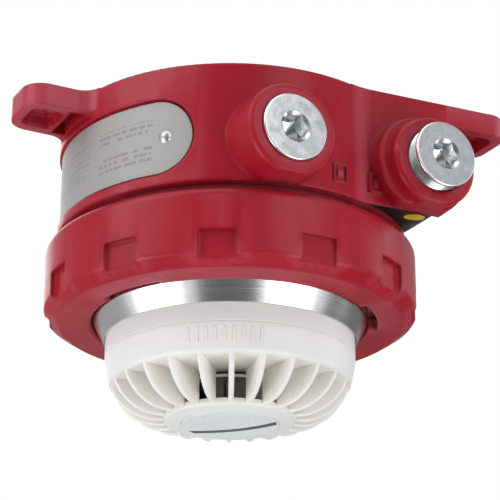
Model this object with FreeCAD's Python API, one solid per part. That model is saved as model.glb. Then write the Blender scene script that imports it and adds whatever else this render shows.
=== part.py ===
import FreeCAD, Part
import math
import os

os.makedirs("parts", exist_ok=True)

# Flameproof point heat detector for a ceiling: a painted cast housing with two cable entries,
# a screwed locking ring, and a sensor unit whose finned head hangs below the ring.
# Frame: origin at the centre of the mounting face, +Z up into the ceiling, the cable entries
# face -Y, and the two mounting lugs reach out along X. All sizes are millimetres.

# ---------------------------------------------------------------- driving dimensions
# Heights are measured down from the mounting face, as positive depths.
BODY_R = 69.9            # outside radius of the round housing wall
LIP_DEPTH = 48.3         # lower lip of the housing wall
LUG_THICK = 9.0          # thickness of the mounting lugs
LUG_HALF = 13.0          # half width of a lug
LUG_HOLE_R = 4.5         # fixing hole in each lug, for an M8 bolt
LEFT_HOLE = (-83.0, 0.0)
RIGHT_HOLE = (78.5, -57.3)
LUG_END = 10.8           # from a hole centre to the end of its lug
SEAT_DEEP = 5.0          # depth of the bevelled seat below each hole

ENTRY_X = (-15.2, 47.3)  # the two cable entries
ENTRY_DEPTH = 31.0       # depth of the entry axes
ENTRY_FACE = 80.0        # distance of the entry faces from the housing axis
ENTRY_R = 18.4           # outside radius of an entry boss
WALL_SIDE = 65.0         # side wall of the entry chamber
WALL_BACK = 30.0         # where the side wall dies into the round wall

THREAD_PITCH = 2.0       # locking ring thread
NECK_R = 66.0            # outside radius of the threaded neck
NECK_END = 72.6          # lower end face of the neck
CHAMBER_R = 58.0         # upper wiring chamber
SPIGOT_BORE_R = 60.2     # bore that takes the spigot of the sensor unit
BORE_TOP = 57.0          # where the spigot bore begins
ROOF = 7.0               # thickness of the housing roof

RING_R = 74.0            # locking ring, outside radius
RING_TOP = 52.4
RING_BOTTOM = 82.0
RING_OPENING_R = 55.2
NOTCHES = 12             # spanner notches round the locking ring
NOTCH_PHASE = -1.0

FLANGE_R = 65.6          # machined flange of the sensor unit
FLANGE_TOP = 72.9
FLANGE_BOTTOM = 76.9
CONE_BOTTOM = 88.9       # lower edge of the bright cone

HEAD_R = 49.4            # moulded head
HEAD_SPLIT = 96.0        # seam between the plain upper part of the head and its finned cage
SHOULDER = 107.4         # level where the fins begin
SHOULDER_R = 47.3
FINS = 24
FIN_PHASE = 3.5
FIN_THICK = 2.0
CORE_R = 25.7            # inner edge of the fins
HUB_RIM = 121.2
HUB_R = 25.9
TOTAL = 122.2            # lowest face of the head

PLUG_PITCH = 1.5         # M25 x 1.5 stopping plugs
PLUG_R = 12.5
PLUG_HEAD_R = 13.2       # thin rim at the front of each plug
PLUG_LENGTH = 17.0
PLUG_PROUD = (1.6, 6.85)  # how far each plug stands out of its boss
HEX_FLATS = 10.0

GAP = 0.3                # clearance between parts that move on each other


def vec(x, y, z):
    return FreeCAD.Vector(x, y, z)


def polar(radius, degrees):
    # Plan angle, measured from the -Y direction towards +X.
    a = math.radians(degrees)
    return radius * math.sin(a), -radius * math.cos(a)


def tube(outer, inner, top, bottom, x=0.0, y=0.0):
    # Vertical tube or disc between two depths.
    solid = Part.makeCylinder(outer, bottom - top, vec(x, y, -bottom))
    if inner > 0:
        solid = solid.cut(Part.makeCylinder(inner, bottom - top, vec(x, y, -bottom)))
    return solid


def block(x0, x1, y0, y1, top, bottom):
    return Part.makeBox(x1 - x0, y1 - y0, bottom - top, vec(x0, y0, -bottom))


def rod_y(radius, x, depth, y_front, y_back):
    # Cylinder along Y.
    return Part.makeCylinder(radius, y_back - y_front, vec(x, y_front, -depth), vec(0, 1, 0))


def rounded_edges(points, to_vector):
    # Closed outline through points (u, v, corner radius), with tangent arcs at its corners.
    count = len(points)
    ends = []
    for i, (u, v, radius) in enumerate(points):
        pu, pv, _ = points[i - 1]
        nu, nv, _ = points[(i + 1) % count]
        if radius <= 0:
            ends.append(((u, v), None, (u, v)))
            continue
        la = math.hypot(pu - u, pv - v)
        lb = math.hypot(nu - u, nv - v)
        a = ((pu - u) / la, (pv - v) / la)
        b = ((nu - u) / lb, (nv - v) / lb)
        half = math.acos(a[0] * b[0] + a[1] * b[1]) / 2
        run = radius / math.tan(half)
        size = math.hypot(a[0] + b[0], a[1] + b[1])
        mid = ((a[0] + b[0]) / size, (a[1] + b[1]) / size)
        deep = radius / math.sin(half) - radius
        start = (u + a[0] * run, v + a[1] * run)
        stop = (u + b[0] * run, v + b[1] * run)
        ends.append((start, (u + mid[0] * deep, v + mid[1] * deep), stop))
    edges = []
    for i, (start, middle, stop) in enumerate(ends):
        if middle is not None:
            edges.append(Part.Arc(to_vector(*start), to_vector(*middle), to_vector(*stop)).toShape())
        after = ends[(i + 1) % count][0]
        if math.hypot(after[0] - stop[0], after[1] - stop[1]) > 1e-6:
            edges.append(Part.LineSegment(to_vector(*stop), to_vector(*after)).toShape())
    return Part.Wire(edges)


def turned(points):
    # Solid of revolution about the housing axis; points are (radius, depth, corner radius).
    wire = rounded_edges(points, lambda r, d: vec(r, 0, -d))
    return Part.Face(wire).revolve(vec(0, 0, 0), vec(0, 0, 1), 360)


def turned_y(points, x, depth):
    # Solid of revolution about a cable entry axis; points are (radius, y, corner radius).
    wire = rounded_edges(points, lambda r, y: vec(x + r, y, -depth))
    return Part.Face(wire).revolve(vec(x, 0, -depth), vec(0, 1, 0), 360)


def plate(points, top, bottom):
    # Flat plate; points are (x, y, corner radius).
    wire = rounded_edges(points, lambda x, y: vec(x, y, -bottom))
    return Part.Face(wire).extrude(vec(0, 0, bottom - top))


def spun(shape, degrees):
    copy = shape.copy()
    copy.rotate(vec(0, 0, 0), vec(0, 0, 1), degrees)
    return copy


def moved(shape, x, y, z):
    copy = shape.copy()
    copy.translate(vec(x, y, z))
    return copy


def joined(shapes):
    shapes = list(shapes)
    return shapes[0].multiFuse(shapes[1:]).removeSplitter()


def bored(shape, tools):
    return shape.cut(list(tools))


def hexagon_y(flats, x, depth, y_front, y_back):
    corner = flats / math.sqrt(3)
    points = []
    for i in range(6):
        a = math.radians(60 * i)
        points.append(vec(x + corner * math.cos(a), y_front, -depth + corner * math.sin(a)))
    wire = Part.makePolygon(points + points[:1])
    return Part.Face(wire).extrude(vec(0, y_back - y_front, 0))


def pan_screw(x, y, seat, head_r, head_h, shank_r, length):
    # Pan-head screw driven upwards, its head under a face at depth "seat".
    head = turned([(0, seat, 0), (head_r, seat, 0), (head_r, seat + head_h, head_h * 0.6),
                   (0, seat + head_h, 0)])
    shank = tube(shank_r, 0, seat - length, seat)
    screw = joined([head, shank])
    slot_half = head_r * 0.16
    for turn in (0, 90):
        blade = block(-head_r * 0.62, head_r * 0.62, -slot_half, slot_half,
                      seat + head_h * 0.45, seat + head_h + 1)
        screw = screw.cut(spun(blade, turn))
    return moved(screw, x, y, 0)


def export(name, shape):
    if isinstance(shape, list):
        shape = Part.makeCompound(shape)
    for solid in shape.Solids:
        if not solid.isValid():
            print("invalid solid in", name)
    shape.exportStep("parts/" + name + ".step")
    print("%-22s %3d solids %10.1f mm3" % (name, len(shape.Solids), shape.Volume))


# ---------------------------------------------------------------- housing
FRONT_START = (22.0, -66.3)    # where the front wall leaves the round wall
FRONT_END = (WALL_SIDE, -68.9)  # front corner of the entry chamber
CHAMBER_CORNER_R = 18.0        # rounding under the side wall
LUG_ROOT_R = 8.0

NAMEPLATE_TOP = 13.7
NAMEPLATE_BOTTOM = 43.3
NAMEPLATE_ENDS = (-39.5, -140.5)
NAMEPLATE_FACE_R = 68.9
RECESS_R = 67.9

TRAY_DEPTH = 22.0
TRAY_THICK = 2.4
TRAY_R = 47.0
POST_ANGLES = (40, 160, 280)
POST_RADIUS = 40.0
POST_R = 5.0
TRAY_SCREW_R = 1.9
EARTH_SPOT = polar(44.0, -50)


def front_wall():
    # Plan of the entry chamber: a nearly straight front wall, softened where it meets the round wall.
    bend = math.atan2(FRONT_START[1] - FRONT_END[1], FRONT_END[0] - FRONT_START[0])
    along = (math.cos(bend), -math.sin(bend))
    outward = (-math.sin(bend), -math.cos(bend))
    offset = FRONT_START[0] * outward[0] + FRONT_START[1] * outward[1]
    soft = 36.0
    reach = math.sqrt((BODY_R + soft) ** 2 - (offset + soft) ** 2)
    centre = (along[0] * reach + outward[0] * (offset + soft),
              along[1] * reach + outward[1] * (offset + soft))
    on_round = (centre[0] * BODY_R / (BODY_R + soft), centre[1] * BODY_R / (BODY_R + soft))
    on_wall = (centre[0] - outward[0] * soft, centre[1] - outward[1] * soft)
    half = ((on_round[0] + on_wall[0]) / 2 - centre[0], (on_round[1] + on_wall[1]) / 2 - centre[1])
    size = math.hypot(*half)
    middle = (centre[0] + half[0] * soft / size, centre[1] + half[1] * soft / size)
    corner = 5.0
    end = (FRONT_END[0] - corner, FRONT_END[1] + corner * math.tan(bend))
    turn = (FRONT_END[0] - corner * 0.3, FRONT_END[1] + corner * 0.3)
    side = (FRONT_END[0], FRONT_END[1] + corner)
    floor = -LIP_DEPTH
    p = [vec(x, y, floor) for x, y in (on_round, middle, on_wall, end, turn, side)]
    back = vec(WALL_SIDE, -WALL_BACK, floor)
    inner = vec(10, -WALL_BACK, floor)
    wire = Part.Wire([
        Part.Arc(p[0], p[1], p[2]).toShape(),
        Part.LineSegment(p[2], p[3]).toShape(),
        Part.Arc(p[3], p[4], p[5]).toShape(),
        Part.LineSegment(p[5], back).toShape(),
        Part.LineSegment(back, inner).toShape(),
        Part.LineSegment(inner, p[0]).toShape(),
    ])
    chamber = Part.Face(wire).extrude(vec(0, 0, LIP_DEPTH))
    # The chamber's lower side edge is rounded to follow the boss of the second entry.
    axis_x = WALL_SIDE - CHAMBER_CORNER_R
    axis_depth = LIP_DEPTH - CHAMBER_CORNER_R
    corner_block = block(axis_x, WALL_SIDE + 5, -90, 0, axis_depth, LIP_DEPTH + 5)
    corner_block = corner_block.cut(rod_y(CHAMBER_CORNER_R, axis_x, axis_depth, -95, 5))
    return chamber.cut(corner_block)


def lug_plates():
    hole_x, hole_y = LEFT_HOLE
    centre_y = LUG_HALF + LUG_ROOT_R
    centre_x = math.sqrt((BODY_R + LUG_ROOT_R) ** 2 - centre_y ** 2)
    root_x = -centre_x * BODY_R / (BODY_R + LUG_ROOT_R)
    root_y = centre_y * BODY_R / (BODY_R + LUG_ROOT_R)
    end_x = hole_x - LUG_END
    corner = 8.5
    k = corner * (1 - math.sqrt(0.5))
    deep = LUG_ROOT_R * math.sqrt(0.5)

    def at(x, y):
        return vec(x, y, -LUG_THICK)

    outline = []
    for side in (1, -1):
        outline.append([
            Part.Arc(at(end_x, side * (LUG_HALF - corner)), at(end_x + k, side * (LUG_HALF - k)),
                     at(end_x + corner, side * LUG_HALF)).toShape(),
            Part.LineSegment(at(end_x + corner, side * LUG_HALF), at(-centre_x, side * LUG_HALF)).toShape(),
            Part.Arc(at(-centre_x, side * LUG_HALF),
                     at(-centre_x + deep * 0.86, side * (centre_y - deep * 1.13)),
                     at(root_x, side * root_y)).toShape(),
            Part.LineSegment(at(root_x, side * root_y), at(-50, side * 5)).toShape(),
        ])
    edges = outline[0] + outline[1]
    edges.append(Part.LineSegment(at(-50, 5), at(-50, -5)).toShape())
    edges.append(Part.LineSegment(at(end_x, LUG_HALF - corner), at(end_x, corner - LUG_HALF)).toShape())
    left = Part.Face(Part.Wire(Part.__sortEdges__(edges))).extrude(vec(0, 0, LUG_THICK))

    hole_x, hole_y = RIGHT_HOLE
    end_x = hole_x + LUG_END
    near = hole_y - LUG_HALF
    far = hole_y + LUG_HALF
    right = plate([(24, -66.4, 0), (end_x, near, 7.0), (end_x, far, 8.5),
                   (WALL_SIDE + 1, far, LUG_ROOT_R), (WALL_SIDE - 2, -WALL_BACK, 0), (20, -WALL_BACK, 0)],
                  0, LUG_THICK)
    return [left, right]


def lug_cuts():
    # Each lug has a round fixing hole under a bevelled oblong seat, and a cored pocket by the wall.
    tools = []
    for x, y in (LEFT_HOLE, RIGHT_HOLE):
        tools.append(tube(LUG_HOLE_R, 0, -1, LUG_THICK + 1, x, y))
        seat_top = LUG_THICK - SEAT_DEEP
        small = rounded_edges([(x - 5.6, y - 7.0, 3), (x + 5.6, y - 7.0, 3),
                               (x + 5.6, y + 7.0, 3), (x - 5.6, y + 7.0, 3)],
                              lambda u, v: vec(u, v, -seat_top))
        large = rounded_edges([(x - 6.8, y - 8.2, 4), (x + 6.8, y - 8.2, 4),
                               (x + 6.8, y + 8.2, 4), (x - 6.8, y + 8.2, 4)],
                              lambda u, v: vec(u, v, -LUG_THICK - 0.01))
        tools.append(Part.makeLoft([small, large], True, True))
    pocket = block(-75.2, -66.0, -10.4, 10.4, LUG_THICK - 5.0, LUG_THICK + 1)
    tools.append(pocket.cut(Part.makeCylinder(BODY_R + 0.4, 80, vec(0, 0, -60))))
    return tools


def stadium_shell(outer, inner, grow):
    # Part of a cylindrical shell with half-round ends, for the nameplate and its recess.
    top = NAMEPLATE_TOP - grow
    bottom = NAMEPLATE_BOTTOM + grow
    radius = (bottom - top) / 2
    middle = (top + bottom) / 2
    shell = tube(outer, inner, top, bottom)
    end_turn = math.degrees((NAMEPLATE_BOTTOM - NAMEPLATE_TOP) / 2 / NAMEPLATE_FACE_R)
    first = NAMEPLATE_ENDS[0] - end_turn
    last = NAMEPLATE_ENDS[1] + end_turn
    x0, y0 = polar(outer * 2, first)
    x1, y1 = polar(outer * 2, (first + last) / 2)
    x2, y2 = polar(outer * 2, last)
    fan = Part.Face(Part.makePolygon([vec(0, 0, -bottom), vec(x0, y0, -bottom), vec(x1, y1, -bottom),
                                      vec(x2, y2, -bottom), vec(0, 0, -bottom)]))
    pieces = [shell.common(fan.extrude(vec(0, 0, bottom - top)))]
    for angle in (first, last):
        dx, dy = polar(1, angle)
        bar = Part.makeCylinder(radius, outer, vec(dx * 20, dy * 20, -middle), vec(dx, dy, 0))
        pieces.append(shell.common(bar))
    return joined(pieces)


def entry_boss(x, radius, back):
    face = -ENTRY_FACE
    outline = [(0, face, 0), (radius, face, 2.2), (radius + 0.2, back, 0), (0, back, 0)]
    return turned_y(outline, x, ENTRY_DEPTH)


def entry_collar(x, radius, face):
    # Slightly larger cast step at the root of a boss.
    return turned_y([(0, face, 0), (radius, face, 1.2), (radius + 0.3, face + 7.4, 0), (0, face + 7.4, 0)],
                    x, ENTRY_DEPTH)


def raised_squares():
    # Two plain cast pads between the entries, each a raised frame round a small tablet.
    pads = []
    for x, half, front in ((10.5, 3.1, 70.2), (27.6, 3.4, 68.4)):
        frame = block(x - half, x + half, -front, -60, 36.2, 44.0)
        frame = frame.cut(block(x - half + 0.8, x + half - 0.8, -front - 1, -front + 0.9, 37.0, 43.2))
        pads.append(frame)
        pads.append(block(x - 1.2, x + 1.2, -front + 0.2, -60, 38.8, 41.4))
    return pads


def make_neck():
    # Threaded neck below the lip; its plain V grooves stand in for the thread.
    points = [(CHAMBER_R, LIP_DEPTH, 0), (NECK_R, LIP_DEPTH, 0)]
    depth = LIP_DEPTH + 5.5
    while depth + THREAD_PITCH < NECK_END - 1:
        points.append((NECK_R, depth, 0))
        points.append((NECK_R - 0.8, depth + THREAD_PITCH / 2, 0))
        depth += THREAD_PITCH
    points.append((NECK_R, depth, 0))
    points.append((NECK_R, NECK_END, 0.8))
    points += [(SPIGOT_BORE_R, NECK_END, 0), (SPIGOT_BORE_R, BORE_TOP, 0), (CHAMBER_R, BORE_TOP, 0)]
    groove = tube(SEAL_R + 1.3, SEAL_R - 1.3, NECK_END - 2.5, NECK_END + 1)
    return turned(points).cut(groove)


SEAL_R = 63.2            # centre line of the cover seal
SEAL_CORD_R = 1.2


def make_housing():
    lip = turned([(0, 0, 0), (BODY_R, 0, 0.8), (BODY_R, LIP_DEPTH, 0.9), (0, LIP_DEPTH, 0)])
    solids = [lip, front_wall()] + lug_plates() + raised_squares()
    solids.append(entry_boss(ENTRY_X[0], ENTRY_R, -50))
    solids.append(entry_boss(ENTRY_X[1], ENTRY_R - 0.3, -66.8))
    solids.append(entry_collar(ENTRY_X[1] - 1.6, ENTRY_R + 1.4, -74.2))
    body = joined(solids)
    body = body.cut(block(-120, 120, -120, 120, LIP_DEPTH, LIP_DEPTH + 30))
    cuts = lug_cuts()
    cuts.append(stadium_shell(BODY_R + 3, RECESS_R, 1.0))
    cuts.append(tube(CHAMBER_R, 0, ROOF, LIP_DEPTH + 1))
    cuts.append(tube(54, 24, -1, 1.6))
    # Wiring pocket behind the entries.
    cuts.append(plate([(-32, -40, 0), (-32, -59.5, 6), (57.5, -61.5, 6), (57.5, -26, 0)], ROOF + 1,
                      LIP_DEPTH - 6))
    for x in ENTRY_X:
        cuts.append(rod_y(PLUG_R + GAP, x, ENTRY_DEPTH, -ENTRY_FACE - 5, -50))
    body = bored(body, cuts)
    # Pad of the internal earth screw.
    return joined([body, tube(6.5, 2.1, ROOF - 0.5, ROOF + 7, *EARTH_SPOT)])


housing = make_housing()
export("threaded_neck", make_neck())

# Pillars that carry the terminal tray under the roof of the housing.
pillars = []
for angle in POST_ANGLES:
    x, y = polar(POST_RADIUS, angle)
    pillars.append(tube(POST_R, TRAY_SCREW_R + 0.1, ROOF, TRAY_DEPTH, x, y))
export("tray_pillars", pillars)

# ---------------------------------------------------------------- plates and labels on the housing
nameplate = stadium_shell(NAMEPLATE_FACE_R, RECESS_R + 0.02, 0)
PIN_ANGLES = (-48.3, -131.7)
PIN_DEPTH = 28.4
pins = []
pin_holes = []
for angle in PIN_ANGLES:
    dx, dy = polar(1, angle)
    base = vec(dx * (RECESS_R - 4), dy * (RECESS_R - 4), -PIN_DEPTH)
    shank = Part.makeCylinder(1.2, NAMEPLATE_FACE_R - RECESS_R + 4.2, base, vec(dx, dy, 0))
    dome = Part.makeSphere(3.2, vec(dx * (NAMEPLATE_FACE_R - 1.9), dy * (NAMEPLATE_FACE_R - 1.9), -PIN_DEPTH))
    outside = Part.makeCylinder(6, 6, vec(dx * NAMEPLATE_FACE_R, dy * NAMEPLATE_FACE_R, -PIN_DEPTH),
                                vec(dx, dy, 0))
    pins.append(joined([shank, dome.common(outside)]))
    hole_base = vec(dx * (RECESS_R - 4.5), dy * (RECESS_R - 4.5), -PIN_DEPTH)
    pin_holes.append(Part.makeCylinder(1.25, 8, hole_base, vec(dx, dy, 0)))
nameplate = bored(nameplate, pin_holes)
housing = bored(housing, pin_holes)
export("housing", housing)
export("nameplate", nameplate)
export("nameplate_pins", pins)

# Thin label on the flat underside of the entry chamber, with a small raised badge.
LABEL_THICK = 0.35
label = plate([(22, -66.2, 0), (47, -67.4, 0), (47, -40, 0), (22, -40, 0)],
              LIP_DEPTH, LIP_DEPTH + LABEL_THICK)
bend_x = WALL_SIDE - CHAMBER_CORNER_R
bend_depth = LIP_DEPTH - CHAMBER_CORNER_R
wrap = rod_y(CHAMBER_CORNER_R + LABEL_THICK, bend_x, bend_depth, -66.6, -40)
wrap = wrap.cut(rod_y(CHAMBER_CORNER_R, bend_x, bend_depth, -70, -38))
wrap = wrap.common(block(bend_x, bend_x + 8.0, -70, -38, 42, 50))
label = joined([label, wrap]).cut(tube(BODY_R + 1.0, 0, LIP_DEPTH - 8, LIP_DEPTH + 5))
export("underside_label", label)
badge = Part.Ellipse(vec(47.0, -63.6, -LIP_DEPTH - LABEL_THICK - 0.25), 4.2, 2.6).toShape()
badge.rotate(vec(47.0, -63.6, 0), vec(0, 0, 1), -12)
badge = Part.Face(Part.Wire([badge])).extrude(vec(0, 0, 0.25))
export("label_badge", badge)

# ---------------------------------------------------------------- terminal tray in the wiring chamber
TERMINALS = 6
TERMINAL_STEP = 7.6
BLOCK_Y = -14.0
SOCKET_Y = 14.0
PIN_COUNT = 4
PIN_STEP = 5.6
tray_bottom = TRAY_DEPTH + TRAY_THICK
tray = tube(TRAY_R, 0, TRAY_DEPTH, tray_bottom)
tray_cuts = [block(-20, 20, -60, -31, TRAY_DEPTH - 1, tray_bottom + 1),
             tube(9, 0, TRAY_DEPTH - 1, tray_bottom + 1, *EARTH_SPOT)]
tray_screws = []
for angle in POST_ANGLES:
    x, y = polar(POST_RADIUS, angle)
    tray_cuts.append(tube(TRAY_SCREW_R + 0.3, 0, TRAY_DEPTH - 1, tray_bottom + 1, x, y))
    tray_screws.append(pan_screw(x, y, tray_bottom, 3.8, 2.4, TRAY_SCREW_R, 11))
export("terminal_tray", bored(tray, tray_cuts))
export("tray_screws", tray_screws)

block_top = tray_bottom
block_bottom = block_top + 14
half_length = TERMINALS * TERMINAL_STEP / 2 + 1.5
terminal_block = block(-half_length, half_length, BLOCK_Y - 8, BLOCK_Y + 8, block_top, block_bottom)
terminal_cuts = []
clamps = []
terminal_screws = []
for i in range(TERMINALS):
    x = (i - (TERMINALS - 1) / 2) * TERMINAL_STEP
    for side in (-1, 1):
        y = BLOCK_Y + side * 4.6
        terminal_cuts.append(tube(2.3, 0, block_bottom - 9.5, block_bottom + 1, x, y))
        terminal_cuts.append(block(x - 2.4, x + 2.4, min(y, y + side * 6), max(y, y + side * 6),
                                   block_bottom - 10, block_bottom - 4.5))
        screw = tube(1.85, 0, block_bottom - 6.8, block_bottom - 0.8, x, y)
        terminal_screws.append(screw.cut(block(x - 2.5, x + 2.5, y - 0.35, y + 0.35,
                                               block_bottom - 1.9, block_bottom)))
    clamp = block(x - 2.2, x + 2.2, BLOCK_Y - 7.4, BLOCK_Y + 7.4, block_bottom - 9.8, block_bottom - 6.9)
    terminal_cuts.append(block(x - 2.3, x + 2.3, BLOCK_Y - 9, BLOCK_Y + 9, block_bottom - 10,
                               block_bottom - 6.7))
    clamps.append(clamp)
export("terminal_block", bored(terminal_block, terminal_cuts))
export("terminal_clamps", clamps)
export("terminal_screws", terminal_screws)

SOCKET_FACE = 44.0
CONTACT_R = 1.0
socket_half = PIN_COUNT * PIN_STEP / 2 + 1.5
socket = block(-socket_half, socket_half, SOCKET_Y - 6, SOCKET_Y + 6, tray_bottom, SOCKET_FACE)
contact_x = [(i - (PIN_COUNT - 1) / 2) * PIN_STEP for i in range(PIN_COUNT)]
socket = bored(socket, [tube(CONTACT_R + 0.35, 0, SOCKET_FACE - 12, SOCKET_FACE + 1, x, SOCKET_Y)
                        for x in contact_x])
export("socket_connector", socket)

# Internal earth screw with its cup washer, on a pad beside the tray.
earth_seat = ROOF + 7
washer = tube(5.2, 2.15, earth_seat, earth_seat + 1.4, *EARTH_SPOT)
export("earth_washer", washer)
export("earth_screw", pan_screw(EARTH_SPOT[0], EARTH_SPOT[1], earth_seat + 1.4, 4.0, 2.8, 2.0, 8.0))

seal = Part.makeTorus(SEAL_R, SEAL_CORD_R, vec(0, 0, -(NECK_END - 1.15)), vec(0, 0, 1))
export("cover_seal", seal)

# ---------------------------------------------------------------- locking ring
RECESSES = 3             # bayonet recesses in the lower lip
RECESS_WIDTH = 29.0
RECESS_PHASE = -69.0
LIP_TOP = FLANGE_BOTTOM + GAP


def make_ring():
    ring = turned([
        (NECK_R + GAP, RING_TOP, 0.8),
        (RING_R, RING_TOP, 3.2),
        (RING_R, RING_BOTTOM - 3.6, 2.0),
        (RING_R - 5.6, RING_BOTTOM, 1.5),
        (RING_OPENING_R, RING_BOTTOM, 0.9),
        (RING_OPENING_R, LIP_TOP, 0),
        (NECK_R + GAP, LIP_TOP, 0),
    ])
    cuts = []
    notch = plate([(-7.2, -RING_R - 3, 0), (7.2, -RING_R - 3, 0), (7.2, -RING_R + 2.3, 1.0),
                   (-7.2, -RING_R + 2.3, 1.0)], RING_TOP + 16.5, RING_BOTTOM + 1)
    for i in range(NOTCHES):
        cuts.append(spun(notch, NOTCH_PHASE + 360 / NOTCHES * i))
    sector = tube(RING_OPENING_R + 3.2, RING_OPENING_R - 2, LIP_TOP - 1, RING_BOTTOM + 1)
    x0, y0 = polar(120, -RECESS_WIDTH / 2)
    x1, y1 = polar(120, RECESS_WIDTH / 2)
    fan = Part.Face(Part.makePolygon([vec(0, 0, -90), vec(x0, y0, -90), vec(x1, y1, -90), vec(0, 0, -90)]))
    sector = sector.common(fan.extrude(vec(0, 0, 30)))
    for i in range(RECESSES):
        cuts.append(spun(sector, RECESS_PHASE + 360 / RECESSES * i))
    # Radial hole of the lock screw.
    cuts.append(Part.makeCylinder(2.1, 20, vec(0, NECK_R - 4, -LOCK_DEPTH), vec(0, 1, 0)))
    return bored(ring, cuts)


LOCK_DEPTH = 59.0
export("locking_ring", make_ring())
lock_screw = Part.makeCylinder(2.0, 6.4, vec(0, NECK_R + 0.7, -LOCK_DEPTH), vec(0, 1, 0))
lock_screw = lock_screw.cut(hexagon_y(2.0, 0, LOCK_DEPTH, NECK_R + 4.6, NECK_R + 8))
export("ring_lock_screw", lock_screw)

# ---------------------------------------------------------------- sensor unit
SPIGOT_R = SPIGOT_BORE_R - GAP
SPIGOT_TOP = 58.2
HEAD_TOP = 80.0
HEAD_BORE_R = HEAD_R + 0.25
BULKHEAD_R = 43.0        # disc that closes the flange, with the cable feedthrough in its middle


def make_flange():
    return turned([
        (SPIGOT_R - 6.2, SPIGOT_TOP, 0),
        (SPIGOT_R, SPIGOT_TOP, 0.8),
        (SPIGOT_R, FLANGE_TOP, 0),
        (FLANGE_R, FLANGE_TOP, 0.5),
        (FLANGE_R, FLANGE_BOTTOM, 0.5),
        (54.3, FLANGE_BOTTOM, 0.6),
        (54.3, RING_BOTTOM - 1.0, 1.0),
        (HEAD_BORE_R + 0.55, CONE_BOTTOM, 0.15),
        (HEAD_BORE_R, CONE_BOTTOM, 0),
        (HEAD_BORE_R, HEAD_TOP - 0.1, 0),
        (44.5, HEAD_TOP - 0.1, 0),
        (44.5, 74.0, 0),
        (BULKHEAD_R, 74.0, 0),
        (BULKHEAD_R, 69.0, 0),
        (SPIGOT_R - 6.2, 69.0, 0),
    ])


flange = make_flange()
HEAD_SCREW_ANGLES = (60, 180, 300)
HEAD_SCREW_RADIUS = 47.0
head_screws = []
flange_cuts = []
for angle in HEAD_SCREW_ANGLES:
    x, y = polar(HEAD_SCREW_RADIUS, angle)
    flange_cuts.append(tube(1.6, 0, 60, 90, x, y))
    flange_cuts.append(tube(3.2, 0, 60, 72.5, x, y))
    head_screws.append(moved(tube(3.0, 0, 70.0, 72.5).fuse(tube(1.45, 0, 72.5, 90)), x, y, 0))
export("sensor_flange", bored(flange, flange_cuts))
export("sensor_bulkhead", tube(BULKHEAD_R, 6.0, 69.0, 74.0))
export("head_screws", [screw.removeSplitter() for screw in head_screws])

potting = turned([(0, 63.5, 0), (41.5, 63.5, 0), (41.5, 68.95, 0), (5.9, 68.95, 0), (5.9, 75.0, 0),
                  (0, 75.0, 0)])
contact_pins = []
pin_cuts = []
for x in contact_x:
    pin = turned([(0, 36.0, 0), (CONTACT_R, 36.0, 0.5), (CONTACT_R, 66.0, 0), (0, 66.0, 0)])
    contact_pins.append(moved(pin, x, SOCKET_Y, 0))
    pin_cuts.append(tube(CONTACT_R + 0.02, 0, 60, 66.02, x, SOCKET_Y))
export("feedthrough_potting", bored(potting, pin_cuts))
export("contact_pins", contact_pins)

FIN_BULGE = 4.5          # how far the curved edge of a fin stands out of its chord
CEILING_THICK = 2.2
CEILING_HOLE_R = 22.3
HUB_TOP = 119.2
DISC_R = 19.2            # round disc let into the hub
BOARD_TOP = 92.0
BOARD_THICK = 1.6
BOARD_SCREWS = ((30, 36.0), (150, 36.0), (270, 36.0))
PIPE_ANGLE = FIN_PHASE - 127.5
PIPE_RADIUS = 26.5
PIPE_R = 2.0
PIPE_TIP = 118.6
BAND_RIBS = 9            # faint upright ribs on the lower band of the head
BAND_RIB_FIRST = -46.0
BAND_RIB_STEP = 4.06


def make_head_body():
    # Plain upper part of the head, with the bosses of its screws.
    parts = [turned([
        (HEAD_R - 2.4, HEAD_TOP, 0),
        (HEAD_R, HEAD_TOP, 0),
        (HEAD_R, HEAD_SPLIT - 0.02, 0.25),
        (HEAD_R - 2.4, HEAD_SPLIT - 0.02, 0),
    ])]
    bores = []
    for angle in HEAD_SCREW_ANGLES:
        x, y = polar(HEAD_SCREW_RADIUS, angle)
        boss = tube(3.0, 0, HEAD_TOP, HEAD_SPLIT - 0.5, x, y)
        parts.append(boss.common(tube(HEAD_R - 0.5, 0, HEAD_TOP, HEAD_SPLIT)))
        bores.append(tube(1.5, 0, HEAD_TOP - 1, 91.0, x, y))
    return bored(joined(parts), bores)


def fin_blank():
    # One fin in the plane through the axis, facing -Y: a slice of a round-edged disc outside,
    # upright inside.
    top = SHOULDER - 1.2
    low = (HUB_R - 0.2, HUB_RIM - 0.7)
    high = (SHOULDER_R - 0.5, SHOULDER - 0.4)
    run = (low[0] - high[0], low[1] - high[1])
    length = math.hypot(*run)
    radius = (length ** 2 / 4 + FIN_BULGE ** 2) / (2 * FIN_BULGE)
    back = radius - FIN_BULGE
    centre = (high[0] + run[0] / 2 - run[1] / length * back, high[1] + run[1] / 2 + run[0] / length * back)
    disc = Part.makeCylinder(radius, FIN_THICK, vec(-FIN_THICK / 2, -centre[0], -centre[1]), vec(1, 0, 0))
    rims = [edge for edge in disc.Edges if edge.Curve.TypeId == "Part::GeomCircle"]
    disc = disc.makeFillet(FIN_THICK * 0.4, rims)
    fin = disc.common(block(-5, 5, -60, 1.2 - HUB_R, top, HUB_RIM + 5))
    # The inner edge stops at the core, except where it runs into the hub.
    return fin.cut(tube(CORE_R, 0, top - 1, HUB_TOP))


def band_ribs():
    # Row of faint upright ribs on the band, facing the side the entries face.
    ring = turned([(46.8, 98.0, 0), (HEAD_R + 0.05, 98.0, 0.25), (48.35, 103.6, 0.25), (46.8, 103.6, 0)])
    ribs = []
    for i in range(BAND_RIBS):
        blade = block(-0.5, 0.5, -HEAD_R - 2, -40, 97, 104.5)
        ribs.append(ring.common(spun(blade, BAND_RIB_FIRST + BAND_RIB_STEP * i)))
    return ribs


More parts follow.
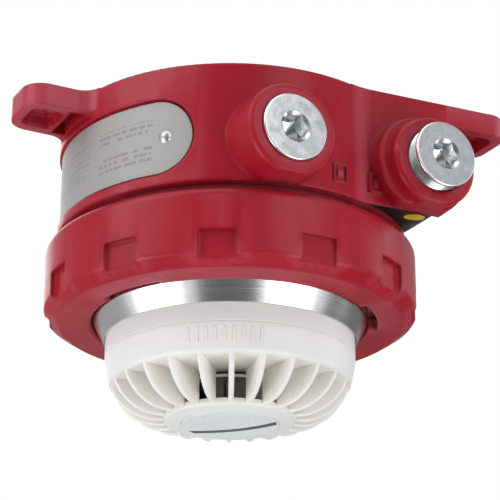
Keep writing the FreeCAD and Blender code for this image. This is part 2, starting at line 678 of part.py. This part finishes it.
def make_cage():
    shell = turned([
        (HEAD_R - 2.4, HEAD_SPLIT, 0),
        (HEAD_R, HEAD_SPLIT, 0.25),
        (HEAD_R, 97.2, 6.0),
        (SHOULDER_R, SHOULDER, 1.9),
        (CEILING_HOLE_R, SHOULDER, 0.3),
        (CEILING_HOLE_R, SHOULDER - CEILING_THICK, 0),
        (SHOULDER_R - 3.0, SHOULDER - CEILING_THICK, 1.5),
        (HEAD_R - 2.4, 98.0, 1.0),
    ])
    hub = turned([(0, HUB_TOP, 0), (HUB_R, HUB_TOP, 0.4), (HUB_R, HUB_RIM, 1.2),
                  (DISC_R + 0.4, TOTAL - 0.3, 0.3), (DISC_R + 0.1, TOTAL - 0.3, 0),
                  (DISC_R + 0.1, TOTAL - 1.15, 0), (0, TOTAL - 1.15, 0)])
    parts = [shell, hub] + band_ribs()
    for top, bottom in ((109.4, 110.3), (118.7, HUB_TOP + 0.2)):
        parts.append(tube(CORE_R + 0.1, CORE_R - 1.1, top, bottom))
    fin = fin_blank()
    parts += [spun(fin, FIN_PHASE + 360 / FINS * i) for i in range(FINS)]
    # Posts under the circuit board.
    for angle, radius in BOARD_SCREWS:
        x, y = polar(radius, angle)
        parts.append(tube(3.2, 1.3, BOARD_TOP + BOARD_THICK, SHOULDER - CEILING_THICK + 0.3, x, y))
    cage = joined(parts)
    x, y = polar(PIPE_RADIUS, PIPE_ANGLE)
    return bored(cage, [tube(PIPE_R + 0.1, 0, 100, PIPE_TIP + 0.1, x, y)])


export("head_body", make_head_body())
export("sensor_cage", make_cage())

hub_disc = turned([(0, TOTAL - 1.1, 0), (DISC_R, TOTAL - 1.1, 0), (DISC_R, TOTAL, 0.3), (0, TOTAL, 0)])
# Plain dark curved strip let into the disc.
STRIP_CENTRE = (-28.5, -25.1)
STRIP_R = 45.6
STRIP_HALF = 1.7


def strip_band(grow):
    band = tube(STRIP_R + STRIP_HALF + grow, STRIP_R - STRIP_HALF - grow, TOTAL - 0.4 - grow, TOTAL + grow,
                *STRIP_CENTRE)
    return band.common(tube(DISC_R - 0.9 + grow, 0, TOTAL - 2, TOTAL + 2))


export("hub_disc", bored(hub_disc, [strip_band(0.02)]))
export("hub_strip", strip_band(0).common(tube(DISC_R, 0, TOTAL - 2, TOTAL)))

# Slotted guard sleeve round the sensing element: a narrow and a wide slot, repeated round it.
GUARD_R = 22.0
GUARD_SLOTS = 7
guard = tube(GUARD_R, GUARD_R - 0.8, 103.0, HUB_TOP - 0.1)
slots = []
for i in range(GUARD_SLOTS):
    turn = 360 / GUARD_SLOTS * i
    slots.append(spun(block(-0.55, 0.55, -23, -20, 110.8, 117.4), -32.3 + turn))
    slots.append(spun(block(-1.5, 1.5, -23, -20, 110.8, 117.4), -56.3 + turn))
export("element_guard", bored(guard, slots))

holder_r = GUARD_R - 1.0
holder = turned([(0, 102.4, 0), (holder_r, 102.4, 0), (holder_r, 104.0, 0), (4.6, 104.0, 0.5),
                 (3.6, 107.5, 0.6), (0, 107.5, 0)])
lead_spots = (-1.1, 1.1)
holder = bored(holder, [tube(0.4, 0, 100, 109, x, 0) for x in lead_spots])
export("thermistor_holder", holder)
export("thermistor_leads", [tube(0.32, 0, BOARD_TOP + BOARD_THICK + 0.05, 111.2, x, 0) for x in lead_spots])
bead = Part.makeSphere(1.9, vec(0, 0, -112.4))
bead = bored(bead, [tube(0.34, 0, 100, 111.25, x, 0) for x in lead_spots])
export("thermistor_bead", bead)

board = tube(42.0, 0, BOARD_TOP, BOARD_TOP + BOARD_THICK)
board_cuts = []
board_screws = []
for angle, radius in BOARD_SCREWS:
    x, y = polar(radius, angle)
    board_cuts.append(tube(1.5, 0, BOARD_TOP - 1, BOARD_TOP + 3, x, y))
    head = tube(2.6, 0, BOARD_TOP - 1.8, BOARD_TOP, x, y)
    board_screws.append(joined([head, tube(1.2, 0, BOARD_TOP, BOARD_TOP + 8, x, y)]))
export("detector_board", bored(board, board_cuts))
export("board_screws", board_screws)

parts_on_board = [block(-6, 6, -4.5, 4.5, BOARD_TOP - 2.4, BOARD_TOP),
                  tube(5.0, 0, BOARD_TOP - 9, BOARD_TOP, 18, 12),
                  block(12, 20, -18, -10, BOARD_TOP - 3.2, BOARD_TOP),
                  tube(2.4, 0, BOARD_TOP - 5, BOARD_TOP, -20, 14),
                  block(-24, -16, -16, -8, BOARD_TOP - 2.0, BOARD_TOP)]
export("board_components", parts_on_board)

x, y = polar(PIPE_RADIUS, PIPE_ANGLE)
led = turned([(0, BOARD_TOP + BOARD_THICK, 0), (2.4, BOARD_TOP + BOARD_THICK, 0), (2.4, 95.2, 0),
              (1.5, 95.2, 0), (1.5, 97.0, 0.6), (0, 97.0, 0)])
export("indicator_led", moved(led, x, y, 0))
pipe = turned([(0, 97.4, 0), (PIPE_R, 97.4, 0), (PIPE_R, PIPE_TIP - 0.4, 1.0), (0, PIPE_TIP, 0)])
export("indicator_light_pipe", moved(pipe, x, y, 0))

# ---------------------------------------------------------------- stopping plugs in the cable entries
PLUG_GROOVES = 8


def make_plug(x, proud):
    front = -ENTRY_FACE - proud
    back = front + PLUG_LENGTH
    points = [(0, front, 0), (PLUG_HEAD_R, front, 0.6), (PLUG_HEAD_R, front + 1.2, 0),
              (PLUG_R, front + 1.2, 0)]
    y = front + 1.5
    for _ in range(PLUG_GROOVES):
        points.append((PLUG_R, y, 0))
        points.append((PLUG_R - 0.75, y + PLUG_PITCH / 2, 0))
        y += PLUG_PITCH
    points += [(PLUG_R, y, 0), (10.2, y, 0), (10.2, back, 0), (11.6, back, 0), (11.6, back + 1.0, 0.4),
               (0, back + 1.0, 0)]
    plug = turned_y(points, x, ENTRY_DEPTH)
    cone = Part.makeCone(HEX_FLATS / 2 + 1.2, HEX_FLATS / 2 - 0.2, 1.4, vec(x, front, -ENTRY_DEPTH),
                         vec(0, 1, 0))
    socket_floor = Part.makeCone(HEX_FLATS / 2, 0.5, 2.5, vec(x, front + 8.0, -ENTRY_DEPTH), vec(0, 1, 0))
    hexagon = hexagon_y(HEX_FLATS, x, ENTRY_DEPTH, front - 1, front + 8.0)
    return bored(plug, [hexagon, cone, socket_floor])


def make_plug_seal(x, proud):
    # Seal ring in the groove behind the plug's thread, just clear of the groove and the bore.
    middle = -ENTRY_FACE - proud + PLUG_LENGTH - 1.3
    return Part.makeTorus(11.06, 0.8, vec(x, middle, -ENTRY_DEPTH), vec(0, 1, 0))


for number, (x, proud) in enumerate(zip(ENTRY_X, PLUG_PROUD), start=1):
    export("entry_plug_%d" % number, make_plug(x, proud))
    export("plug_seal_%d" % number, make_plug_seal(x, proud))
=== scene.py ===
import math

import bmesh
import bpy
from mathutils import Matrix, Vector


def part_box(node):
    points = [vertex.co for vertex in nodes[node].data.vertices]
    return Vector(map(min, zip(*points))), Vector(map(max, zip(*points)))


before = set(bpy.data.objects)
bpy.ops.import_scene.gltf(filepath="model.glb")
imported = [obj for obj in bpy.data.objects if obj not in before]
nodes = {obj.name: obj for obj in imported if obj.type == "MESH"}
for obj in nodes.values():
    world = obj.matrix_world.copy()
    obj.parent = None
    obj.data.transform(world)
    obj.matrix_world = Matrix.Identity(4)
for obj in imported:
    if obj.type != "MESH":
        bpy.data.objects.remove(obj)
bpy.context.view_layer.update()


def centre_of(node):
    low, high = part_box(node)
    return (low + high) / 2


# ---------------------------------------------------------------- material tools
class Tree:
    """Short calls for building node patterns."""

    def __init__(self, tree):
        self.tree = tree

    def node(self, kind, **settings):
        made = self.tree.nodes.new(kind)
        for key, value in settings.items():
            setattr(made, key, value)
        return made

    def link(self, a, b):
        self.tree.links.new(a, b)

    def feed(self, socket, value):
        """Sets a socket to a number or an RGB colour, or links an output to it."""
        if isinstance(value, tuple):
            socket.default_value = (*value, 1)
        elif isinstance(value, (int, float)):
            socket.default_value = value
        else:
            self.link(value, socket)

    def coords(self, centre=(0, 0, 0)):
        """Object coordinates in metres, measured from a centre."""
        where = self.node("ShaderNodeTexCoord").outputs["Object"]
        mapping = self.node("ShaderNodeMapping")
        mapping.inputs["Location"].default_value = [-c for c in centre]
        self.link(where, mapping.inputs["Vector"])
        return mapping.outputs["Vector"]

    def polar_coords(self, axis, centre=(0, 0, 0)):
        """Radius from an axis, angle round it and distance along it, as three outputs."""
        split = self.node("ShaderNodeSeparateXYZ")
        self.link(self.coords(centre), split.inputs[0])
        x, y, z = split.outputs
        u, v, w = {"z": (x, y, z), "y": (x, z, y)}[axis]
        squares = self.maths("ADD", self.maths("MULTIPLY", u, u), self.maths("MULTIPLY", v, v))
        return self.maths("SQRT", squares), self.maths("ARCTAN2", u, v), w

    def maths(self, operation, a, b=None):
        made = self.node("ShaderNodeMath", operation=operation)
        self.feed(made.inputs[0], a)
        if b is not None:
            self.feed(made.inputs[1], b)
        return made.outputs[0]

    def between(self, value, low, high):
        """1 where the value lies between two limits, 0 elsewhere."""
        above = self.maths("GREATER_THAN", value, low)
        return self.maths("MULTIPLY", above, self.maths("LESS_THAN", value, high))

    def combine(self, x, y, z):
        made = self.node("ShaderNodeCombineXYZ")
        for socket, value in zip(made.inputs, (x, y, z)):
            self.feed(socket, value)
        return made.outputs[0]

    def noise(self, scale, detail=3.0, rough=0.5, vector=None):
        """Noise over the object, about scale features per metre, or over another vector."""
        made = self.node("ShaderNodeTexNoise")
        made.inputs["Scale"].default_value = scale
        made.inputs["Detail"].default_value = detail
        made.inputs["Roughness"].default_value = rough
        self.link(vector or self.coords(), made.inputs["Vector"])
        return made.outputs[0]

    def ramp(self, value, stops, interpolation="LINEAR"):
        """Colour ramp through (position, colour) stops; a number stands for a grey."""
        made = self.node("ShaderNodeValToRGB")
        made.color_ramp.interpolation = interpolation
        elements = made.color_ramp.elements
        while len(elements) < len(stops):
            elements.new(0.5)
        for element, (position, colour) in zip(elements, stops):
            element.position = position
            rgb = colour if isinstance(colour, tuple) else (colour, colour, colour)
            element.color = (*rgb, 1)
        self.link(value, made.inputs[0])
        return made.outputs[0]

    def mix(self, share, a, b):
        """Colour a where the share is 0, colour b where it is 1."""
        made = self.node("ShaderNodeMix", data_type="RGBA")
        factor = made.inputs[0]
        colour_a, colour_b = made.inputs[6:8]
        self.feed(factor, share)
        self.feed(colour_a, a)
        self.feed(colour_b, b)
        mixed_colour = made.outputs[2]
        return mixed_colour


class Material(Tree):
    """A Principled material with colour, roughness and bump layers."""

    def __init__(self, name, colour, roughness, metallic=0.0):
        self.mat = bpy.data.materials.new(name)
        self.mat.use_nodes = True
        super().__init__(self.mat.node_tree)
        self.bsdf = self.tree.nodes["Principled BSDF"]
        self.set("Base Color", (*colour, 1))
        self.set("Roughness", roughness)
        self.set("Metallic", metallic)
        self.bump_input = None

    def set(self, socket, value):
        self.bsdf.inputs[socket].default_value = value
        return self

    def soften(self, radius):
        """Shades sharp edges and inside corners as if rounded; call it before any bump."""
        made = self.node("ShaderNodeBevel", samples=6)
        made.inputs["Radius"].default_value = radius
        self.bump_input = made.outputs[0]
        self.link(self.bump_input, self.bsdf.inputs["Normal"])
        return self

    def colour(self, output):
        self.link(output, self.bsdf.inputs["Base Color"])
        return self

    def roughness(self, output):
        self.link(output, self.bsdf.inputs["Roughness"])
        return self

    def bump(self, height, distance, strength):
        """Adds a bump layer; distance is the height of a full step, in metres."""
        made = self.node("ShaderNodeBump")
        made.inputs["Strength"].default_value = strength
        made.inputs["Distance"].default_value = distance
        self.link(height, made.inputs["Height"])
        if self.bump_input is not None:
            self.link(self.bump_input, made.inputs["Normal"])
        self.bump_input = made.outputs[0]
        self.link(self.bump_input, self.bsdf.inputs["Normal"])
        return self

    def edges(self, low, high):
        """White on convex edges, black elsewhere; 0.5 is flat."""
        point = self.node("ShaderNodeNewGeometry").outputs["Pointiness"]
        return self.ramp(point, [(low, 0.0), (high, 1.0)])


# ---------------------------------------------------------------- materials
# Radii that edges are shaded with, and how far the painted warm shade in recesses reaches.
CAST_EDGE = 0.0018
MOULDED_EDGE = 0.0004
PAINTED_SHADE_REACH = 0.014
# Nameplate print: row pitch, dash pitch, angles round the axis and depths below the plate's top.
PRINT_ROWS_PER_METRE = 430
PRINT_DASHES_PER_RADIAN = 42
RIGHT_PRINT_ANGLES = (-2.22, -1.84)
LEFT_PRINT_ANGLES = (-1.76, -1.35)
UPPER_PRINT = (0.0068, 0.0131)
LOWER_PRINT = (0.0168, 0.0238)
TALL_PRINT = (0.0083, 0.0228)
# Lengths of the guard sleeve's dark top and pale foot.
GUARD_DARK_TOP = 0.0068
GUARD_PALE_FOOT = 0.0006
TOOL_MARKS_PER_METRE = 3500
FACING_MARKS_PER_METRE = 2500


def red_paint():
    """Glossy paint on a casting, uneven in depth and paler on sharp edges, partly as wear and partly as a
    painted highlight.
    """
    m = Material("red_paint", (0.34, 0.012, 0.024), 0.3)
    m.set("Specular IOR Level", 0.22).set("Coat Weight", 0.06).set("Coat Roughness", 0.12)
    m.soften(CAST_EDGE)
    patches = m.noise(22, 4, 0.55)
    base = m.ramp(patches, [(0.3, (0.34, 0.006, 0.017)), (0.7, (0.40, 0.011, 0.025))])
    # Paler red on sharp edges: partly thin, worn paint and partly a painted edge highlight.
    m.colour(m.mix(m.edges(0.51, 0.6), base, (0.44, 0.05, 0.075)))
    m.roughness(m.ramp(m.noise(60, 3), [(0.35, 0.27), (0.7, 0.4)]))
    m.bump(m.noise(420, 2, 0.5), 0.00016, 0.5)
    m.bump(m.noise(1500, 2, 0.6), 0.00003, 0.5)
    return m.mat


def plate_metal():
    """Dull plate with faint rows of plain bars in place of its print."""
    m = Material("plate_metal", (0.45, 0.44, 0.42), 0.5, 0.2)
    _, angle, height = m.polar_coords("z")
    brushed = m.combine(m.maths("MULTIPLY", angle, 6), m.maths("MULTIPLY", height, 2600), 0)
    grain = m.noise(1.0, 4, 0.7, brushed)
    base = m.ramp(grain, [(0.3, (0.36, 0.35, 0.335)), (0.7, (0.43, 0.42, 0.405))])
    rows = m.maths("MULTIPLY", height, PRINT_ROWS_PER_METRE)
    in_row = m.maths("LESS_THAN", m.maths("FRACT", rows), 0.5)
    along = m.maths("MULTIPLY", angle, PRINT_DASHES_PER_RADIAN)
    row_shift = m.maths("MULTIPLY", m.maths("FLOOR", rows), 7.3)
    dashes = m.noise(1.0, 0, 0.5, m.combine(along, row_shift, 0))
    in_dash = m.maths("GREATER_THAN", dashes, 0.42)
    # Two short blocks of rows near the right pin, and a fainter, taller block to their left.
    plate_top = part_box("nameplate")[1].z
    upper, lower, tall = (m.between(height, plate_top - end, plate_top - start)
                          for start, end in (UPPER_PRINT, LOWER_PRINT, TALL_PRINT))
    right_print = m.maths("MULTIPLY", m.between(angle, *RIGHT_PRINT_ANGLES), m.maths("ADD", upper, lower))
    left_print = m.maths("MULTIPLY", m.between(angle, *LEFT_PRINT_ANGLES), tall)
    blocks = m.maths("ADD", right_print, m.maths("MULTIPLY", left_print, 0.5))
    bars = m.maths("MULTIPLY", m.maths("MULTIPLY", in_row, in_dash), blocks)
    m.colour(m.mix(m.maths("MULTIPLY", bars, 0.6), base, (0.22, 0.21, 0.20)))
    m.roughness(m.ramp(grain, [(0.3, 0.44), (0.7, 0.58)]))
    m.bump(grain, 0.00002, 0.4)
    return m.mat


def turned_aluminium():
    """Bright metal with fine tool marks running round the axis."""
    m = Material("turned_aluminium", (0.82, 0.82, 0.83), 0.22, 1.0)
    radius, angle, height = m.polar_coords("z")
    outward = m.maths("MULTIPLY", radius, TOOL_MARKS_PER_METRE)
    upward = m.maths("MULTIPLY", height, TOOL_MARKS_PER_METRE)
    rings = m.noise(1.0, 3, 0.7, m.combine(outward, upward, m.maths("MULTIPLY", angle, 0.4)))
    m.colour(m.ramp(rings, [(0.3, (0.68, 0.68, 0.69)), (0.7, (0.80, 0.80, 0.81))]))
    m.roughness(m.ramp(rings, [(0.3, 0.17), (0.7, 0.27)]))
    m.bump(rings, 0.00001, 0.35)
    return m.mat


def white_plastic(name, low, high):
    """Head plastic between two shades, with a painted warm shade from bounce light in recesses such as
    the gaps between fins.
    """
    m = Material(name, low, 0.42)
    m.set("Subsurface Weight", 0.15).set("Subsurface Radius", (0.002, 0.0016, 0.0012))
    m.soften(MOULDED_EDGE)
    patches = m.noise(35, 3)
    base = m.ramp(patches, [(0.3, low), (0.7, high)])
    # Painted shade: a warm tint for bounce light and shade, mixed into the colour where the occlusion
    # finds a recess.
    openness = m.node("ShaderNodeAmbientOcclusion", samples=6)
    openness.inputs["Distance"].default_value = PAINTED_SHADE_REACH
    painted_recess_shade = m.ramp(openness.outputs["AO"], [(0.35, 1.0), (0.85, 0.0)])
    m.colour(m.mix(painted_recess_shade, base, (0.92, 0.885, 0.82)))
    m.roughness(m.ramp(m.noise(90, 3), [(0.3, 0.36), (0.7, 0.5)]))
    m.bump(m.noise(1800, 2, 0.6), 0.00003, 0.4)
    return m.mat


def guard_plastic():
    """Brown-grey sleeve, darker at its top and speckled pale at its foot."""
    m = Material("guard_plastic", (0.13, 0.11, 0.09), 0.45)
    _, _, height = m.polar_coords("z")
    body = m.ramp(m.noise(300, 3), [(0.3, (0.13, 0.11, 0.095)), (0.7, (0.17, 0.145, 0.12))])
    low_corner, high_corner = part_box("element_guard")
    top = m.maths("GREATER_THAN", height, high_corner.z - GUARD_DARK_TOP)
    foot = m.maths("LESS_THAN", height, low_corner.z + GUARD_PALE_FOOT)
    speckle = m.ramp(m.noise(1600, 2), [(0.42, (0.16, 0.14, 0.12)), (0.6, (0.45, 0.43, 0.40))])
    m.colour(m.mix(foot, m.mix(top, body, (0.055, 0.046, 0.04)), speckle))
    m.roughness(m.ramp(m.noise(500, 2), [(0.3, 0.38), (0.7, 0.55)]))
    m.bump(m.noise(900, 2), 0.00004, 0.5)
    return m.mat


def plated_plug(name, node):
    """Plated steel with facing marks round the plug's own axis."""
    m = Material(name, (0.80, 0.81, 0.82), 0.2, 1.0)
    radius, angle, _ = m.polar_coords("y", centre_of(node))
    outward = m.maths("MULTIPLY", radius, FACING_MARKS_PER_METRE)
    rings = m.noise(1.0, 2, 0.6, m.combine(outward, m.maths("MULTIPLY", angle, 0.3), 0))
    m.colour(m.ramp(rings, [(0.3, (0.72, 0.735, 0.75)), (0.7, (0.86, 0.865, 0.87))]))
    m.roughness(m.ramp(m.noise(300, 3), [(0.3, 0.16), (0.7, 0.3)]))
    m.bump(rings, 0.00001, 0.35)
    return m.mat


def steel(name, colour):
    """Bare or plated metal of a given colour."""
    m = Material(name, colour, 0.3, 1.0)
    grain = m.noise(700, 3)
    low = tuple(c * 0.85 for c in colour)
    high = tuple(min(1.0, c * 1.1) for c in colour)
    m.colour(m.ramp(grain, [(0.3, low), (0.7, high)]))
    m.roughness(m.ramp(m.noise(250, 3), [(0.3, 0.24), (0.7, 0.4)]))
    m.bump(grain, 0.00001, 0.3)
    return m.mat


def moulded(name, colour, roughness, grain=1400, spread=0.16):
    """Moulded plastic, rubber or resin whose colour varies by a share, the spread."""
    m = Material(name, colour, roughness)
    low = tuple(c * (1 - spread) for c in colour)
    high = tuple(min(1.0, c * (1 + spread) + 0.004) for c in colour)
    m.colour(m.ramp(m.noise(60, 3), [(0.3, low), (0.7, high)]))
    m.roughness(m.ramp(m.noise(140, 3), [(0.3, roughness - 0.08), (0.7, roughness + 0.08)]))
    m.bump(m.noise(grain, 2, 0.6), 0.00003, 0.4)
    return m.mat


def clear_plastic(name, colour, transmission):
    """Glossy plastic that lets part of the light through."""
    m = Material(name, colour, 0.12)
    m.set("Transmission Weight", transmission).set("IOR", 1.49)
    low = tuple(c * 0.9 for c in colour)
    m.colour(m.ramp(m.noise(120, 2), [(0.3, low), (0.7, colour)]))
    m.bump(m.noise(900, 2), 0.00001, 0.3)
    return m.mat


RED = red_paint()
STEEL = steel("zinc_steel", (0.6, 0.6, 0.58))
BRASS = steel("tin_brass", (0.72, 0.52, 0.24))
BLACK = moulded("black_plastic", (0.02, 0.02, 0.022), 0.5)
RUBBER = moulded("rubber", (0.018, 0.018, 0.018), 0.7, 900)
GREY = moulded("grey_plastic", (0.42, 0.43, 0.42), 0.5)
CREAM = moulded("cream_plastic", (0.62, 0.60, 0.53), 0.5)

finishes = {
    "housing": RED,
    "threaded_neck": RED,
    "locking_ring": RED,
    "nameplate": plate_metal(),
    "nameplate_pins": steel("pin_metal", (0.68, 0.68, 0.67)),
    "underside_label": moulded("black_label", (0.012, 0.012, 0.013), 0.35),
    "label_badge": moulded("badge_yellow", (0.75, 0.55, 0.03), 0.35),
    "tray_pillars": STEEL,
    "terminal_tray": STEEL,
    "tray_screws": STEEL,
    "terminal_block": GREY,
    "terminal_clamps": BRASS,
    "terminal_screws": STEEL,
    "earth_screw": BRASS,
    "earth_washer": BRASS,
    "socket_connector": BLACK,
    "cover_seal": RUBBER,
    "ring_lock_screw": steel("dark_steel", (0.22, 0.22, 0.22)),
    "sensor_flange": turned_aluminium(),
    "sensor_bulkhead": steel("cast_aluminium", (0.62, 0.62, 0.63)),
    "head_screws": STEEL,
    "feedthrough_potting": moulded("potting_resin", (0.03, 0.03, 0.035), 0.25, 300),
    "contact_pins": BRASS,
    "head_body": white_plastic("white_upper", (0.80, 0.835, 0.81), (0.86, 0.89, 0.87)),
    "sensor_cage": white_plastic("white_cage", (0.83, 0.83, 0.80), (0.88, 0.88, 0.86)),
    "hub_disc": moulded("pale_disc", (0.80, 0.85, 0.85), 0.32, spread=0.03),
    "hub_strip": moulded("dark_inlay", (0.07, 0.085, 0.085), 0.35),
    "element_guard": guard_plastic(),
    "thermistor_holder": CREAM,
    "thermistor_leads": STEEL,
    "thermistor_bead": moulded("bead_resin", (0.03, 0.02, 0.015), 0.2),
    "detector_board": moulded("board_green", (0.012, 0.12, 0.05), 0.35),
    "board_screws": STEEL,
    "board_components": BLACK,
    "indicator_led": clear_plastic("led_red", (0.55, 0.02, 0.02), 0.4),
    "indicator_light_pipe": clear_plastic("light_pipe", (0.40, 0.35, 0.32), 0.3),
    "entry_plug_1": plated_plug("plug_metal_1", "entry_plug_1"),
    "entry_plug_2": plated_plug("plug_metal_2", "entry_plug_2"),
    "plug_seal_1": RUBBER,
    "plug_seal_2": RUBBER,
}
for name, material in finishes.items():
    mesh = nodes[name].data
    mesh.materials.clear()
    mesh.materials.append(material)

# ---------------------------------------------------------------- camera
# Where the camera stands and the way it looks, to show the object from the photo's angle.
CAMERA_AT = Vector((-0.3207, -0.6213, -0.3204))
CAMERA_LOOK = Vector((0.4369, 0.8236, 0.3618))
LENS_MM = 133.8
SENSOR_MM = 36


def make_camera():
    data = bpy.data.cameras.new("camera")
    data.lens = LENS_MM
    data.sensor_width = SENSOR_MM
    data.clip_start = 0.01
    data.clip_end = 50
    cam = bpy.data.objects.new("camera", data)
    bpy.context.scene.collection.objects.link(cam)
    cam.location = CAMERA_AT
    cam.rotation_mode = "QUATERNION"
    cam.rotation_quaternion = CAMERA_LOOK.to_track_quat("-Z", "Y")
    bpy.context.scene.camera = cam


# ---------------------------------------------------------------- studio
# The floor lies far below the object, because the photo looks up from under it.
FLOOR_HEIGHT = -1.35
FLOOR_HALF_WIDTH = 0.9
WORLD_STRENGTH = 0.8
LIGHT_TARGET = Vector((0, 0, -0.06))
# Azimuth in degrees (0 at -Y, 90 at +X) where each sector begins, and its brightness.
SECTORS = ((-180, 0.5), (-127, 0.95), (-59, 0.15), (-2, 0.95), (62, 0.22), (150, 0.5))


def make_floor():
    mesh = bpy.data.meshes.new("floor")
    bm = bmesh.new()
    bmesh.ops.create_grid(bm, x_segments=2, y_segments=2, size=FLOOR_HALF_WIDTH)
    bmesh.ops.translate(bm, verts=bm.verts, vec=(0, 0, FLOOR_HEIGHT))
    bm.to_mesh(mesh)
    bm.free()
    floor = bpy.data.objects.new("floor", mesh)
    bpy.context.scene.collection.objects.link(floor)
    m = Material("floor_paper", (0.86, 0.86, 0.86), 0.8)
    m.colour(m.ramp(m.noise(3, 3), [(0.3, 0.84), (0.7, 0.88)]))
    mesh.materials.append(m.mat)


def make_world():
    """Light and dark sectors round the object, with plain white where the camera sees past it."""
    world = bpy.data.worlds.new("studio")
    bpy.context.scene.world = world
    world.use_nodes = True
    t = Tree(world.node_tree)
    t.tree.nodes.clear()
    split = t.node("ShaderNodeSeparateXYZ")
    t.link(t.node("ShaderNodeTexCoord").outputs["Generated"], split.inputs[0])
    x, y, z = split.outputs
    azimuth = t.maths("ARCTAN2", x, t.maths("MULTIPLY", y, -1.0))
    share_of_turn = t.maths("ADD", t.maths("DIVIDE", azimuth, 2 * math.pi), 0.5)
    stops = [((start + 180) / 360, brightness) for start, brightness in SECTORS]
    sector = t.ramp(share_of_turn, stops, "CONSTANT")
    upper = t.ramp(z, [(0.05, 0.0), (0.18, 1.0)])
    lit = t.node("ShaderNodeBackground")
    t.link(t.mix(upper, sector, (0.55, 0.57, 0.60)), lit.inputs["Color"])
    lit.inputs["Strength"].default_value = WORLD_STRENGTH
    white = t.node("ShaderNodeBackground")
    white.inputs["Color"].default_value = (1, 1, 1, 1)
    mix = t.node("ShaderNodeMixShader")
    t.link(t.node("ShaderNodeLightPath").outputs["Is Camera Ray"], mix.inputs[0])
    t.link(lit.outputs[0], mix.inputs[1])
    t.link(white.outputs[0], mix.inputs[2])
    t.link(mix.outputs[0], t.node("ShaderNodeOutputWorld").inputs["Surface"])


def softbox(name, azimuth, elevation, distance, width, height, power):
    """Rectangular light aimed at the middle of the object; azimuth 0 stands at -Y, 90 at +X.

    Angles are in degrees, sizes in metres and the power is in watts.
    """
    data = bpy.data.lights.new(name, "AREA")
    data.shape = "RECTANGLE"
    data.size = width
    data.size_y = height
    data.energy = power
    light = bpy.data.objects.new(name, data)
    bpy.context.scene.collection.objects.link(light)
    a = math.radians(azimuth)
    e = math.radians(elevation)
    away = Vector((math.sin(a) * math.cos(e), -math.cos(a) * math.cos(e), math.sin(e)))
    light.location = LIGHT_TARGET + away * distance
    light.rotation_mode = "QUATERNION"
    light.rotation_quaternion = (-away).to_track_quat("-Z", "Y")


def make_lights():
    softbox("key", -85, 38, 1.2, 0.8, 0.8, 4.5)
    softbox("front", 10, 25, 1.3, 0.5, 0.9, 2.5)
    softbox("right", 75, 10, 1.2, 0.4, 0.9, 1.5)
    softbox("top", -20, 75, 1.2, 1.0, 0.8, 3)
    softbox("low_left", -95, -35, 1.2, 0.7, 0.6, 5.5)
    softbox("low_right", 28, -35, 1.2, 0.7, 0.6, 4.5)
    softbox("back", 170, 30, 1.3, 0.9, 0.9, 4)


make_camera()
make_floor()
make_world()
make_lights()
bpy.context.scene.view_settings.view_transform = "Standard"
